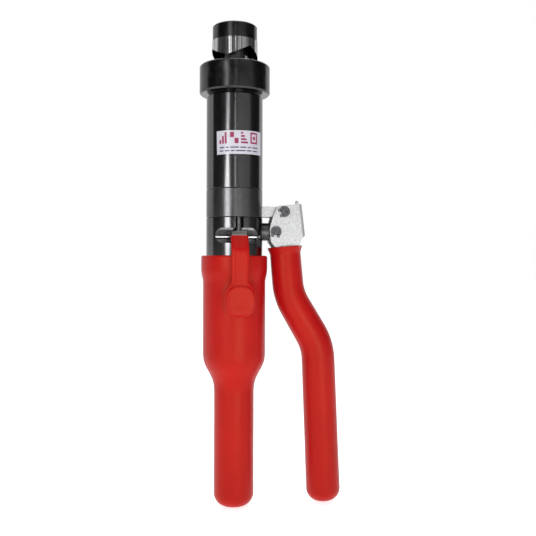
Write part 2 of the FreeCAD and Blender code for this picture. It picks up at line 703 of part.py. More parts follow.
nodes["release_lever"] = make_release_lever()
nodes["release_lever_grip"] = make_release_grip(nodes["release_lever"])
pin_end = V(-RELEASE_PIN_HALF, RELEASE_PIN.y, RELEASE_PIN.z)
nodes["release_pin"] = cyl(RELEASE_PIN_R, pin_end, 2 * RELEASE_PIN_HALF, ALONG_X)
nodes["release_valve_stem"] = make_stem()
nodes["release_valve_ball"] = Part.makeSphere(STEM_R - 0.2, V(RELEASE_X, STEM_Y, STEM_TOP + STEM_R - 0.2))
nodes["release_valve_spring"] = coil(1.9, 0.35, 5, STEM_TOP + 2 * STEM_R - 0.3, STEM_BORE_TOP - 0.02,
                                     RELEASE_X, STEM_Y)

# ---------------------------------------------------------------- handle: reservoir and sleeve
def handle_outline(offset, top, bottom, end_corner, flare):
    """Half outline of the handle, set in by offset from the sleeve's outside."""
    body_r = SLEEVE_BODY_R - offset
    grip_r = SLEEVE_GRIP_R - offset
    corners = [(0, bottom, 0), (grip_r, bottom, end_corner), (grip_r, SHOULDER_BOTTOM, SHOULDER_FILLET)]
    if flare:
        return corners + [
            (body_r, SHOULDER_TOP - 5.5, SHOULDER_FILLET),
            (body_r, SLEEVE_NECK_Z, 8.0),
            (SLEEVE_FLARE_R - offset, SLEEVE_FLARE_Z, 8.0),
            (SLEEVE_FLARE_R - offset, top, 1.2),
            (0, top, 0),
        ]
    return corners + [(body_r, SHOULDER_TOP - 5.5, SHOULDER_FILLET), (body_r, top, 0), (0, top, 0)]


def make_reservoir_tube():
    outside = SLEEVE_THICK + 0.1
    outer = turned(handle_outline(outside, BLOCK_BOTTOM, RESERVOIR_BOTTOM, 6.0, False))
    inside = outside + RESERVOIR_WALL
    inner = turned(handle_outline(inside, BLOCK_BOTTOM + 1, RESERVOIR_FLOOR, 0.5, False))
    neck = z_cyl(TUBE_R - NECK_INSET, SPIGOT_TOP, BLOCK_BOTTOM + 1)
    filler = z_cyl(FILLER_R, RESERVOIR_BOTTOM - 1, RESERVOIR_BOTTOM + 14)
    body = outer.common(z_cyl(TUBE_R, HANDLE_BOTTOM, BLOCK_BOTTOM))
    return cut(body, [inner, neck, filler])


def make_handle_sleeve():
    outer = turned(handle_outline(0.0, SLEEVE_TOP, HANDLE_BOTTOM, 11.0, True))
    inner = turned(handle_outline(SLEEVE_THICK + 0.1, SLEEVE_TOP + 1, RESERVOIR_BOTTOM, 6.0, False))
    return outer.cut(inner).cut(z_cyl(TUBE_R, BLOCK_BOTTOM - 1, SLEEVE_TOP + 2))


def bladder_outline(inset, top):
    """Half outline of the oil bladder, set in from its outside."""
    tube = BLADDER_R - inset
    mouth = SPIGOT_R + BLADDER_WALL - inset
    bottom = BLADDER_BOTTOM + inset
    return [
        (0, bottom, 0),
        (tube, bottom, 8.0 - inset),
        (tube, BLADDER_TAPER_LOW, 5.0),
        (mouth, BLADDER_TAPER_HIGH, 5.0),
        (mouth, top, 0),
        (0, top, 0),
    ]


def make_bladder():
    inside = turned(bladder_outline(BLADDER_WALL, BLADDER_TOP + 1))
    return turned(bladder_outline(0.0, BLADDER_TOP)).cut(inside)


nodes["reservoir_tube"] = make_reservoir_tube()
filler_key = z_cyl(FILLER_KEY_R, RESERVOIR_BOTTOM - 1, RESERVOIR_BOTTOM + FILLER_KEY_DEPTH)
nodes["filler_plug"] = z_cyl(FILLER_R, RESERVOIR_BOTTOM, RESERVOIR_BOTTOM + FILLER_LENGTH).cut(filler_key)
nodes["oil_bladder"] = make_bladder()
nodes["bladder_clamp"] = ring(SPIGOT_R + 2.6, SPIGOT_R + 1.4, -216.0, -208.0)
nodes["handle_sleeve"] = make_handle_sleeve()

# ---------------------------------------------------------------- lever
BRACKET_SHEET = CHEEK_OUT - CHEEK_IN
WEB_TOP = V(58.6, 0, -120.3)
WEB_BOTTOM = V(61.8, 0, -147.1)
TONGUE_HALF = 4.5
TONGUE_BOTTOM = -172.0


def lever_run(start, end, start_r, end_r):
    """Straight stretch of the grip or its tube, from one radius to another."""
    line = end - start
    if abs(start_r - end_r) < 1e-6:
        return Part.makeCylinder(start_r, line.Length, start, line)
    return Part.makeCone(start_r, end_r, line.Length, start, line)


def lever_bend(before, corner, after, radius):
    """Arc that joins two runs: the bend's solid, its first point and its last point."""
    back = (before - corner).normalize()
    ahead = (after - corner).normalize()
    half = back.getAngle(ahead) / 2
    reach = GRIP_BEND_R / math.tan(half)
    centre = corner + (back + ahead).normalize() * (GRIP_BEND_R / math.sin(half))
    first = corner + back * reach
    last = corner + ahead * reach
    axis = (first - centre).cross(last - centre)
    turn = math.degrees((first - centre).getAngle(last - centre))
    disc = Part.Face(Part.Wire(Part.Circle(first, back, radius).toShape()))
    return disc.revolve(centre, axis, turn), first, last


def lever_bar(radii, top, end):
    """Solid round bar along the lever's centre line; radii are at top, knee, ankle and end."""
    knee, knee_in, knee_out = lever_bend(top, GRIP_KNEE, GRIP_ANKLE, radii[1])
    ankle, ankle_in, ankle_out = lever_bend(GRIP_KNEE, GRIP_ANKLE, end, radii[2])
    return fuse([
        lever_run(top, knee_in, radii[0], radii[1]),
        knee,
        lever_run(knee_out, ankle_in, radii[1], radii[2]),
        ankle,
        lever_run(ankle_out, end, radii[2], radii[3]),
    ])


def make_bracket():
    """Folded U of plated sheet: two cheeks and a leaning web on the outer side."""
    lean = (WEB_TOP - WEB_BOTTOM).normalize()
    inward = V(-lean.z, 0, lean.x)
    depth = 45.0
    base = WEB_BOTTOM - lean * 25

    def fold(half, web, corner):
        def place(a, b):
            return base + inward * a + V(0, b, 0)
        corners = [(web, -half, corner), (web, half, corner), (depth, half, 0), (depth, -half, 0)]
        wire = rounded_wire(corners, place)
        return Part.Face(wire).extrude(lean * 80)

    u_section = fold(CHEEK_OUT, 0.0, 3.4).cut(fold(CHEEK_IN, BRACKET_SHEET, 1.2))
    outline = front_plate([
        (36.7, -122.4, 2.5),
        (WEB_TOP.x - 0.1, WEB_TOP.z + 0.1, 1.2),
        (WEB_BOTTOM.x + 0.3, WEB_BOTTOM.z, 1.5),
        (57.5, -152.4, 2.0),
        (56.4, -158.4, 0),
        (34.6, -158.4, 0),
        (31.1, -153.8, 1.5),
        (29.8, -142.7, 6.0),
        (33.1, -131.0, 8.0),
    ], -20, 20)
    cheeks = u_section.common(outline)
    tongues = [
        Part.makeBox(2 * TONGUE_HALF, BRACKET_SHEET, -158.0 - TONGUE_BOTTOM,
                     V(GRIP_TOP.x - TONGUE_HALF + 0.6, y, TONGUE_BOTTOM))
        for y in (CHEEK_IN, -CHEEK_OUT)
    ]
    tab = Part.makeBox(BRACKET_SHEET, 4.0, 4.6, V(WEB_TOP.x - BRACKET_SHEET - 0.3, 4.2, WEB_TOP.z - 0.8))
    holes = [cyl(PIN_R + 0.02, V(p.x, -20, p.z), 40, ALONG_Y) for p in (FULCRUM, CRANK)]
    return cut(fuse([cheeks, tab] + tongues), holes)


def make_lever_tube(bracket):
    top = GRIP_TOP + (GRIP_KNEE - GRIP_TOP).normalize() * TUBE_SET_IN
    end = GRIP_END + V(-0.3, 0, 6.5)
    outer = lever_bar([LEVER_TUBE_R] * 4, top, end)
    inner = lever_bar([LEVER_TUBE_IN_R] * 4, top + V(-0.1, 0, 1), end + V(0.1, 0, -2.0))
    return cut(outer, [inner, bracket])


def make_lever_grip(bracket):
    radii = [GRIP_TOP_R, GRIP_KNEE_R, GRIP_ANKLE_R, GRIP_END_R]
    body = lever_bar(radii, GRIP_TOP, GRIP_END)
    down = (GRIP_KNEE - GRIP_TOP).normalize()
    lip = Part.makeCone(LIP_R, GRIP_TOP_R, LIP_LENGTH, GRIP_TOP, down)
    body = fuse([body, lip])
    end_edge = [e for e in body.Edges if e.BoundBox.ZMax < GRIP_END.z + 2 and e.Length > 40]
    body = body.makeFillet(10.0, end_edge)
    top = GRIP_TOP - down * 3.5
    core_end = GRIP_END + V(-0.3, 0, 6.5)
    core = lever_bar([LEVER_TUBE_R] * 4, top, core_end)
    return cut(body, [core, bracket])


PIN_HALF = 12.0
CIRCLIP_THICK = 1.0
CIRCLIP_IN_R = 2.5
CIRCLIP_R = 4.8
EAR_CIRCLE = 4.7
CIRCLIP_Y = CHEEK_OUT + 0.15
UPPER_EARS = 200.0            # direction of each circlip's open side, degrees from +X towards +Z
LOWER_EARS = 262.0


def make_pin(centre):
    body = cyl(PIN_R, V(centre.x, -PIN_HALF, centre.z), 2 * PIN_HALF, ALONG_Y)
    ends = [e for e in body.Edges if e.BoundBox.YLength < 0.01]
    body = body.makeChamfer(0.5, ends)
    grooves = []
    for y in (CIRCLIP_Y, -CIRCLIP_Y - CIRCLIP_THICK):
        outer = cyl(PIN_R + 1, V(centre.x, y, centre.z), CIRCLIP_THICK, ALONG_Y)
        grooves.append(outer.cut(cyl(CIRCLIP_IN_R, V(centre.x, y, centre.z), CIRCLIP_THICK, ALONG_Y)))
    return cut(body, grooves)


def make_circlip(centre, ears, y):
    """External circlip lying across Y, its two eared ends either side of the open direction."""
    start = V(centre.x, y, centre.z)
    body = cyl(CIRCLIP_R, start, CIRCLIP_THICK, ALONG_Y)
    ear_spread = 34.0
    holes = [cyl(CIRCLIP_IN_R, start, CIRCLIP_THICK, ALONG_Y)]
    opening = math.radians(ears)
    away = V(math.cos(opening), 0, math.sin(opening))
    side = V(-away.z, 0, away.x)
    mouth = Part.Face(Part.makePolygon([
        start, start + away * 8 + side * 2.4, start + away * 8 - side * 2.4, start,
    ])).extrude(V(0, CIRCLIP_THICK, 0))
    for sign in (1, -1):
        angle = math.radians(ears + sign * ear_spread)
        ear = start + V(math.cos(angle), 0, math.sin(angle)) * EAR_CIRCLE
        body = body.fuse(cyl(1.25, ear, CIRCLIP_THICK, ALONG_Y))
        holes.append(cyl(0.5, ear, CIRCLIP_THICK, ALONG_Y))
    return cut(body, holes + [mouth])


def make_circlips():
    clips = []
    for centre, ears in ((FULCRUM, UPPER_EARS), (CRANK, LOWER_EARS)):
        for y in (CIRCLIP_Y, -CIRCLIP_Y - CIRCLIP_THICK):
            clips.append(make_circlip(centre, ears, y))
    return Part.makeCompound(clips)


def make_plunger():
    """Round plunger with a flat eye; the eye's slot lets the crank pin rise and fall."""
    eye_half = 6.0
    eye_left = BOSS_FACE_X + 0.4
    eye_right = CRANK.x + PIN_R + 1.4
    arm = (CRANK - FULCRUM).Length
    closed = math.atan2(FULCRUM.x - CRANK.x, FULCRUM.z - CRANK.z)
    dip = CRANK.z - (FULCRUM.z - arm)
    rise = FULCRUM.z - arm * math.cos(math.radians(LEVER_OPEN) - closed) - CRANK.z
    rod = cyl(PLUNGER_R, V(PLUNGER_TIP_X, 0, CRANK.z), eye_left + 1 - PLUNGER_TIP_X, ALONG_X)
    eye = front_plate([
        (eye_left, CRANK.z - dip - PIN_R - 2.4, 2.0),
        (eye_right, CRANK.z - dip - PIN_R - 2.4, 2.5),
        (eye_right, CRANK.z + rise + PIN_R + 2.2, 2.5),
        (eye_left, CRANK.z + rise + PIN_R + 2.2, 2.0),
    ], -eye_half, eye_half)
    slack = 0.2
    reach = PIN_R + slack
    slot = front_plate([
        (CRANK.x - reach, CRANK.z - dip - reach, reach - 0.01),
        (CRANK.x + reach, CRANK.z - dip - reach, reach - 0.01),
        (CRANK.x + reach, CRANK.z + rise + reach, reach - 0.01),
        (CRANK.x - reach, CRANK.z + rise + reach, reach - 0.01),
    ], -2 * eye_half, 2 * eye_half)
    return fuse([rod, eye]).cut(slot)


nodes["lever_bracket"] = make_bracket()
nodes["lever_tube"] = make_lever_tube(nodes["lever_bracket"])
nodes["lever_grip"] = make_lever_grip(nodes["lever_bracket"])
nodes["fulcrum_pin"] = make_pin(FULCRUM)
nodes["plunger_pin"] = make_pin(CRANK)
nodes["circlips"] = make_circlips()
nodes["pump_plunger"] = make_plunger()

# ---------------------------------------------------------------- output
os.makedirs("parts", exist_ok=True)
for name, shape in nodes.items():
    shape.exportStep(f"parts/{name}.step")
    print(f"{name:24s} solids {len(shape.Solids)} valid {shape.isValid()} volume {shape.Volume:9.1f}")
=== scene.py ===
import json
import math

import bmesh
import bpy
from mathutils import Matrix, Vector, noise


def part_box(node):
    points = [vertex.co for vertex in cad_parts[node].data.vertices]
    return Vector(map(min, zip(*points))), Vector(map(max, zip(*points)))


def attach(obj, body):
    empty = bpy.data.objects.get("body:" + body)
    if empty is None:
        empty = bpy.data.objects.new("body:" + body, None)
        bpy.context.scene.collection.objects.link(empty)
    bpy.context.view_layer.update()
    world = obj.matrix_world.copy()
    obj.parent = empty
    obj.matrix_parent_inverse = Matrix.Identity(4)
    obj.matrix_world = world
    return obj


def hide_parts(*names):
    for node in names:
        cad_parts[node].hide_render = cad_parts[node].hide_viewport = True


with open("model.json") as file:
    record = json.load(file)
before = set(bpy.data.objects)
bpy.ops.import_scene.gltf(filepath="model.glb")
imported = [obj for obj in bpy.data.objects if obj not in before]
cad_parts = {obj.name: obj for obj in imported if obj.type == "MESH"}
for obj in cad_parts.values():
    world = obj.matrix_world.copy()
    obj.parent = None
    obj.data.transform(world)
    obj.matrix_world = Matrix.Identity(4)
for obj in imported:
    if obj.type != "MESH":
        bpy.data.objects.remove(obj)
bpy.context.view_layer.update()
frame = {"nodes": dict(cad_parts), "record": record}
MM = 0.001
TURN = 2 * math.pi


# ---------------------------------------------------------------- mesh helpers
def front(azimuth):
    """Unit vector that many degrees from the front, towards the pump lever."""
    a = math.radians(azimuth)
    return Vector((math.sin(a), -math.cos(a), 0))


def smoothstep(low, high, x):
    t = min(1.0, max(0.0, (x - low) / (high - low)))
    return t * t * (3 - 2 * t)


def curve_through(knots, x):
    """Value at x of a smooth monotone curve through (x, value) knots."""
    if x <= knots[0][0]:
        return knots[0][1]
    for (x0, y0), (x1, y1) in zip(knots, knots[1:]):
        if x <= x1:
            return y0 + (y1 - y0) * smoothstep(x0, x1, x)
    return knots[-1][1]


def skin(name, rings):
    """Smooth mesh from rings of points; the first and last ring close with a fan."""
    mesh = bpy.data.meshes.new(name)
    bm = bmesh.new()
    rows = [[bm.verts.new(p) for p in ring] for ring in rings]
    count = len(rings[0])
    for a, b in zip(rows, rows[1:]):
        for i in range(count):
            j = (i + 1) % count
            bm.faces.new((a[i], a[j], b[j], b[i]))
    for row in (rows[0], rows[-1]):
        middle = sum((v.co for v in row), Vector()) / count
        hub = bm.verts.new(middle)
        for i in range(count):
            bm.faces.new((row[i], row[(i + 1) % count], hub))
    bmesh.ops.recalc_face_normals(bm, faces=bm.faces)
    bm.to_mesh(mesh)
    bm.free()
    for face in mesh.polygons:
        face.use_smooth = True
    obj = bpy.data.objects.new(name, mesh)
    bpy.context.scene.collection.objects.link(obj)
    return obj


def rounded_path(corners, radius, step):
    """Points along straight runs joined by arcs of one radius, about step apart."""
    points = [corners[0]]
    for before, corner, after in zip(corners, corners[1:], corners[2:]):
        back = (before - corner).normalized()
        ahead = (after - corner).normalized()
        half = back.angle(ahead) / 2
        reach = radius / math.tan(half)
        centre = corner + (back + ahead).normalized() * (radius / math.sin(half))
        first = corner + back * reach
        last = corner + ahead * reach
        axis = (first - centre).cross(last - centre).normalized()
        turn = (first - centre).angle(last - centre)
        points += straight(points[-1], first, step)
        count = max(4, int(radius * turn / step))
        for i in range(1, count + 1):
            spin = Matrix.Rotation(turn * i / count, 3, axis)
            points.append(centre + spin @ (first - centre))
    points += straight(points[-1], corners[-1], step)
    return points


def straight(start, end, step):
    count = max(1, int((end - start).length / step))
    return [start.lerp(end, i / count) for i in range(1, count + 1)]


def path_lengths(points):
    lengths = [0.0]
    for a, b in zip(points, points[1:]):
        lengths.append(lengths[-1] + (b - a).length)
    return lengths


def path_tangents(points):
    tangents = []
    for i in range(len(points)):
        a = points[max(0, i - 1)]
        b = points[min(len(points) - 1, i + 1)]
        tangents.append((b - a).normalized())
    return tangents


# ---------------------------------------------------------------- material helpers
class Finish:
    """A node material around one Principled shader, with short calls that add nodes to it."""

    def __init__(self, name, **constants):
        self.material = bpy.data.materials.new(name)
        self.material.use_nodes = True
        self.tree = self.material.node_tree
        self.shader = self.tree.nodes["Principled BSDF"]
        for socket, value in constants.items():
            self.shader.inputs[socket.replace("_", " ")].default_value = value
        self.place = self.node("ShaderNodeTexCoord").outputs["Object"]
        self.height = None

    def node(self, kind, **settings):
        made = self.tree.nodes.new(kind)
        for key, value in settings.items():
            setattr(made, key, value)
        return made

    def feed(self, socket, value):
        if isinstance(value, bpy.types.NodeSocket):
            self.tree.links.new(value, socket)
        else:
            socket.default_value = value

    def calc(self, operation, a, b=0.0):
        made = self.node("ShaderNodeMath", operation=operation)
        self.feed(made.inputs[0], a)
        self.feed(made.inputs[1], b)
        return made.outputs[0]

    def stretched(self, scale):
        made = self.node("ShaderNodeVectorMath", operation="MULTIPLY")
        self.feed(made.inputs[0], self.place)
        made.inputs[1].default_value = scale
        return made.outputs[0]

    def grain(self, scale, detail=3.0, stretch=(1, 1, 1), rough=0.55):
        """Noise from 0 to 1; scale is in cells per metre."""
        made = self.node("ShaderNodeTexNoise")
        self.feed(made.inputs["Vector"], self.stretched(stretch))
        made.inputs["Scale"].default_value = scale
        made.inputs["Detail"].default_value = detail
        made.inputs["Roughness"].default_value = rough
        return made.outputs["Fac"]

    def span(self, value, low, high, to_low=0.0, to_high=1.0):
        made = self.node("ShaderNodeMapRange", clamp=True)
        self.feed(made.inputs["Value"], value)
        made.inputs["From Min"].default_value = low
        made.inputs["From Max"].default_value = high
        made.inputs["To Min"].default_value = to_low
        made.inputs["To Max"].default_value = to_high
        return made.outputs["Result"]

    def blend(self, factor, a, b):
        made = self.node("ShaderNodeMix", data_type="RGBA")
        self.feed(made.inputs["Factor"], factor)
        self.feed(made.inputs["A"], a if isinstance(a, bpy.types.NodeSocket) else (*a, 1))
        self.feed(made.inputs["B"], b if isinstance(b, bpy.types.NodeSocket) else (*b, 1))
        return made.outputs["Result"]

    def axis_distance(self):
        """Distance from the tool's axis, and height along it."""
        parts = self.node("ShaderNodeSeparateXYZ")
        self.feed(parts.inputs[0], self.place)
        x_square = self.calc("POWER", parts.outputs["X"], 2.0)
        y_square = self.calc("POWER", parts.outputs["Y"], 2.0)
        square = self.calc("ADD", x_square, y_square)
        return self.calc("SQRT", square), parts.outputs["Z"]

    def shaded_cut_edge(self):
        """1 on the sheared edges of upright sheet metal, 0 on its faces and on its outer bend."""
        parts = self.node("ShaderNodeSeparateXYZ")
        self.feed(parts.inputs[0], self.node("ShaderNodeTexCoord").outputs["Normal"])
        flat = self.span(self.calc("ABSOLUTE", parts.outputs["Y"]), 0.35, 0.25)
        inward = self.span(parts.outputs["X"], 0.6, 0.45)
        return self.calc("MULTIPLY", flat, inward)

    def above(self, height):
        """1 above a height, 0 below it."""
        parts = self.node("ShaderNodeSeparateXYZ")
        self.feed(parts.inputs[0], self.place)
        return self.span(parts.outputs["Z"], height, height + 0.1 * MM)

    def pocket_rim_highlight(self):
        """1 on a thin line along the edge of the milled pocket's round ends, where a bright rim is painted
        as a highlight, 0 elsewhere.
        """
        parts = self.node("ShaderNodeSeparateXYZ")
        self.feed(parts.inputs[0], self.place)
        off_axis = self.calc("ABSOLUTE", parts.outputs["X"])
        past = self.calc("SUBTRACT", off_axis, POCKET_HALF_LENGTH - POCKET_HALF_HEIGHT)
        past = self.calc("MAXIMUM", past, 0.0)
        up = self.calc("SUBTRACT", parts.outputs["Z"], POCKET_Z)
        square = self.calc("ADD", self.calc("POWER", past, 2.0), self.calc("MULTIPLY", up, up))
        away = self.calc("SUBTRACT", self.calc("SQRT", square), POCKET_HALF_HEIGHT)
        off = self.calc("ABSOLUTE", away)
        line = self.span(off, 0.34 * MM, 0.12 * MM)
        rounded = self.span(past, 1.0 * MM, 2.5 * MM)
        outside = self.span(parts.outputs["Y"], -11.0 * MM, -12.0 * MM)
        return self.calc("MULTIPLY", self.calc("MULTIPLY", line, rounded), outside)

    def bump(self, height, strength, distance):
        made = self.node("ShaderNodeBump")
        made.inputs["Strength"].default_value = strength
        made.inputs["Distance"].default_value = distance
        self.feed(made.inputs["Height"], height)
        if self.height is not None:
            self.feed(made.inputs["Normal"], self.height)
        self.height = made.outputs["Normal"]
        self.feed(self.shader.inputs["Normal"], self.height)

    def paint(self, colour, roughness):
        self.feed(self.shader.inputs["Base Color"], colour)
        self.feed(self.shader.inputs["Roughness"], roughness)
        return self.material


# ---------------------------------------------------------------- finishes
BAND_R = 20.0 * MM
BAND_TOP = 21.8 * MM
HEAD_NOSE_Z = -27.3 * MM
HEAD_HIGH_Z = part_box("pump_head")[1].z
HEAD_LOW_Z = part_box("pump_head")[0].z
POCKET_Z = -149.0 * MM
POCKET_HALF_HEIGHT = 6.5 * MM
POCKET_HALF_LENGTH = 18.1 * MM


def blackened_steel():
    f = Finish("blackened_steel", Metallic=1.0)
    cloud = f.grain(45, 4.0, (1, 1, 0.35))
    speck = f.grain(1500, 2.0)
    colour = f.blend(f.span(cloud, 0.3, 0.7), (0.082, 0.082, 0.087), (0.130, 0.128, 0.130))
    colour = f.blend(f.span(speck, 0.54, 0.76), colour, (0.19, 0.186, 0.186))
    # Painted shade: everything above the nose height, the neck under the die, is darkened to stand for the
    # shadow there.
    colour = f.blend(f.above(HEAD_NOSE_Z), colour, (0.018, 0.018, 0.019))
    # Painted highlight: a thin bright line along the pocket's round ends.
    colour = f.blend(f.pocket_rim_highlight(), colour, (0.52, 0.51, 0.50))
    f.bump(speck, 0.10, 0.00004)
    f.bump(f.grain(60, 2.0, (1, 1, 60)), 0.12, 0.00003)
    satin = f.calc("MULTIPLY", f.above(HEAD_LOW_Z), f.calc("SUBTRACT", 1.0, f.above(HEAD_HIGH_Z)))
    rough = f.span(cloud, 0.25, 0.75, 0.13, 0.20)
    return f.paint(colour, f.calc("ADD", rough, f.calc("MULTIPLY", satin, 0.10)))


def die_steel():
    f = Finish("die_steel", Metallic=1.0)
    cloud = f.grain(70, 4.0)
    speck = f.grain(1300, 2.0)
    smudge = f.grain(180, 3.0, (1, 1, 0.6))
    colour = f.blend(f.span(cloud, 0.3, 0.7), (0.034, 0.034, 0.035), (0.066, 0.065, 0.066))
    colour = f.blend(f.span(smudge, 0.5, 0.8, 0.0, 0.7), colour, (0.095, 0.094, 0.093))
    f.bump(speck, 0.22, 0.00006)
    return f.paint(colour, f.span(smudge, 0.3, 0.7, 0.17, 0.27))


def punch_steel():
    f = Finish("punch_steel", Metallic=1.0)
    radius, height = f.axis_distance()
    edge = BAND_TOP + 0.05 * MM
    wide_enough = f.span(radius, BAND_R - 0.25 * MM, BAND_R - 0.15 * MM)
    low_enough = f.span(height, edge, edge - 0.1 * MM)
    on_band = f.calc("MULTIPLY", wide_enough, low_enough)
    cloud = f.grain(80, 4.0)
    streak = f.grain(700, 3.0, (1, 1, 0.02))
    speck = f.grain(1400, 2.0)
    black = f.blend(f.span(cloud, 0.3, 0.7), (0.036, 0.036, 0.038), (0.075, 0.074, 0.075))
    ground = f.blend(f.span(streak, 0.32, 0.68), (0.20, 0.20, 0.205), (0.66, 0.66, 0.65))
    rough = f.node("ShaderNodeMix", data_type="FLOAT")
    f.feed(rough.inputs["Factor"], on_band)
    f.feed(rough.inputs["A"], f.span(cloud, 0.3, 0.7, 0.20, 0.28))
    f.feed(rough.inputs["B"], f.span(streak, 0.3, 0.7, 0.10, 0.22))
    f.bump(speck, 0.14, 0.00005)
    f.bump(streak, 0.10, 0.00004)
    return f.paint(f.blend(on_band, black, ground), rough.outputs["Result"])


def zinc_plate():
    f = Finish("zinc_plate", Metallic=0.55)
    mottle = f.grain(1300, 3.0, rough=0.6)
    patch = f.grain(160, 3.0)
    scratch = f.grain(1100, 2.0, (0.06, 1, 1))
    colour = f.blend(f.span(mottle, 0.34, 0.66), (0.35, 0.353, 0.357), (0.60, 0.603, 0.607))
    colour = f.blend(f.span(patch, 0.50, 0.75, 0.0, 0.45), colour, (0.52, 0.52, 0.53))
    # Partly the darker bare cut edges of the sheet, partly painted shade: the sheared edges are darkened to
    # stand for the shadow gap beside the cheeks.
    colour = f.blend(f.shaded_cut_edge(), colour, (0.06, 0.06, 0.062))
    f.bump(mottle, 0.25, 0.00010)
    f.bump(scratch, 0.10, 0.00004)
    return f.paint(colour, f.span(mottle, 0.3, 0.7, 0.50, 0.30))


def plain_steel(name, dark, light, rough, stretch=(1, 1, 0.1)):
    f = Finish(name, Metallic=1.0)
    brush = f.grain(900, 3.0, stretch)
    cloud = f.grain(120, 3.0)
    colour = f.blend(f.span(brush, 0.3, 0.7), dark, light)
    colour = f.blend(f.span(cloud, 0.55, 0.8, 0.0, 0.5), colour, dark)
    f.bump(brush, 0.15, 0.00004)
    return f.paint(colour, f.span(cloud, 0.3, 0.7, rough, rough + 0.10))


def phosphated_steel(name, dark, light, rough):
    f = Finish(name, Metallic=0.9)
    cloud = f.grain(500, 4.0, rough=0.7)
    wear = f.grain(1700, 2.0)
    colour = f.blend(f.span(cloud, 0.35, 0.65), dark, light)
    colour = f.blend(f.span(wear, 0.58, 0.75, 0.0, 0.6), colour, (0.33, 0.33, 0.34))
    f.bump(cloud, 0.30, 0.00008)
    return f.paint(colour, f.span(cloud, 0.3, 0.7, rough, rough + 0.15))


def turned_aluminium():
    f = Finish("reservoir_aluminium", Metallic=1.0)
    lathe = f.grain(60, 3.0, (1, 1, 60))
    colour = f.blend(f.span(lathe, 0.3, 0.7), (0.50, 0.50, 0.52), (0.66, 0.66, 0.68))
    f.bump(lathe, 0.2, 0.00004)
    return f.paint(colour, f.span(lathe, 0.3, 0.7, 0.28, 0.40))


def moulded_rubber(name, dark, light):
    f = Finish(name, Metallic=0.0, IOR=1.5)
    bloom = f.grain(220, 4.0)
    pore = f.grain(1800, 2.0)
    colour = f.blend(f.span(bloom, 0.35, 0.7), dark, light)
    f.bump(pore, 0.25, 0.00006)
    return f.paint(colour, f.span(bloom, 0.3, 0.7, 0.50, 0.68))


def red_vinyl():
    warm = (1.0, 0.66, 0.36, 1)
    f = Finish("red_vinyl", Metallic=0.0, IOR=1.40, Specular_IOR_Level=0.40, Specular_Tint=warm)
    cloud = f.grain(26, 3.0)
    peel = f.grain(620, 2.0)
    swell = f.grain(70, 2.0)
    handled = f.grain(170, 4.0, rough=0.65)
    colour = f.blend(f.span(cloud, 0.3, 0.7), (0.380, 0.0026, 0.0050), (0.430, 0.0040, 0.0058))
    colour = f.blend(f.span(handled, 0.58, 0.82, 0.0, 0.35), colour, (0.47, 0.010, 0.009))
    f.bump(swell, 0.22, 0.0006)
    f.bump(peel, 0.16, 0.00008)
    return f.paint(colour, f.span(handled, 0.3, 0.75, 0.36, 0.46))


def label_film():
    f = Finish("label_film", Metallic=0.0, IOR=1.5)
    fibre = f.grain(900, 2.0)
    shade = f.grain(60, 2.0)
    colour = f.blend(f.span(shade, 0.3, 0.7), (0.50, 0.485, 0.545), (0.56, 0.54, 0.60))
    f.bump(fibre, 0.08, 0.00003)
    return f.paint(colour, f.span(shade, 0.3, 0.7, 0.26, 0.34))


def label_ink(name, dark, light):
    f = Finish(name, Metallic=0.0, IOR=1.5)
    speck = f.grain(2600, 2.0)
    f.bump(speck, 0.06, 0.00002)
    return f.paint(f.blend(f.span(speck, 0.35, 0.7), dark, light), f.span(speck, 0.3, 0.7, 0.34, 0.42))


def floor_white():
    f = Finish("floor_white", Metallic=0.0, IOR=1.3)
    shade = f.grain(3, 3.0)
    colour = f.blend(f.span(shade, 0.3, 0.7), (0.86, 0.86, 0.865), (0.90, 0.90, 0.90))
    f.shader.inputs["Emission Color"].default_value = (1, 1, 1, 1)
    f.shader.inputs["Emission Strength"].default_value = FLOOR_GLOW
    return f.paint(colour, f.span(shade, 0.3, 0.7, 0.75, 0.85))


FINISHES = {
    "blackened_steel": blackened_steel(),
    "die_steel": die_steel(),
    "punch_steel": punch_steel(),
    "zinc_plate": zinc_plate(),
    "bright_steel": plain_steel("bright_steel", (0.42, 0.42, 0.43), (0.66, 0.66, 0.66), 0.16),
    "release_steel": plain_steel("release_steel", (0.22, 0.22, 0.215), (0.46, 0.455, 0.44), 0.28),
    "spring_steel": plain_steel("spring_steel", (0.20, 0.20, 0.21), (0.36, 0.37, 0.38), 0.30),
    "fastener_steel": phosphated_steel("fastener_steel", (0.04, 0.04, 0.043), (0.10, 0.10, 0.105), 0.35),
    "pin_steel": phosphated_steel("pin_steel", (0.030, 0.030, 0.033), (0.13, 0.13, 0.135), 0.36),
    "reservoir_aluminium": turned_aluminium(),
    "bladder_rubber": moulded_rubber("bladder_rubber", (0.022, 0.022, 0.022), (0.045, 0.045, 0.046)),
    "seal_rubber": moulded_rubber("seal_rubber", (0.014, 0.014, 0.014), (0.030, 0.030, 0.031)),
    "red_vinyl": red_vinyl(),
    "label_film": label_film(),
}


def finish_cad_nodes():
    """Gives every CAD node the finish of its own material slot."""
    for part in frame["record"]["subparts"]:
        mesh = frame["nodes"][part["node"]].data
        finish = FINISHES[part["material_slot"]]
        if not mesh.materials:
            mesh.materials.append(finish)
        for i in range(len(mesh.materials)):
            mesh.materials[i] = finish


def add_piece(obj, slot, body, *nodes):
    """Finishes a replacement piece, ties it to its body and hides the CAD nodes it replaces."""
    obj.data.materials.append(FINISHES[slot])
    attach(obj, body)
    if nodes:
        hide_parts(*nodes)
    return obj


# ---------------------------------------------------------------- handle sleeve
SLEEVE_SIDES = 160
TUBE_R = 24.6 * MM
SLEEVE_WALL = 2.7 * MM
SLEEVE_END_R = 11.0 * MM
SLEEVE_GRIP_R = 17.4 * MM
SLEEVE_RIM = 1.3 * MM
SLEEVE_INNER_RIM = 0.9 * MM
SLEEVE_ROWS = 230
BLOCK_BOTTOM = -186.6 * MM


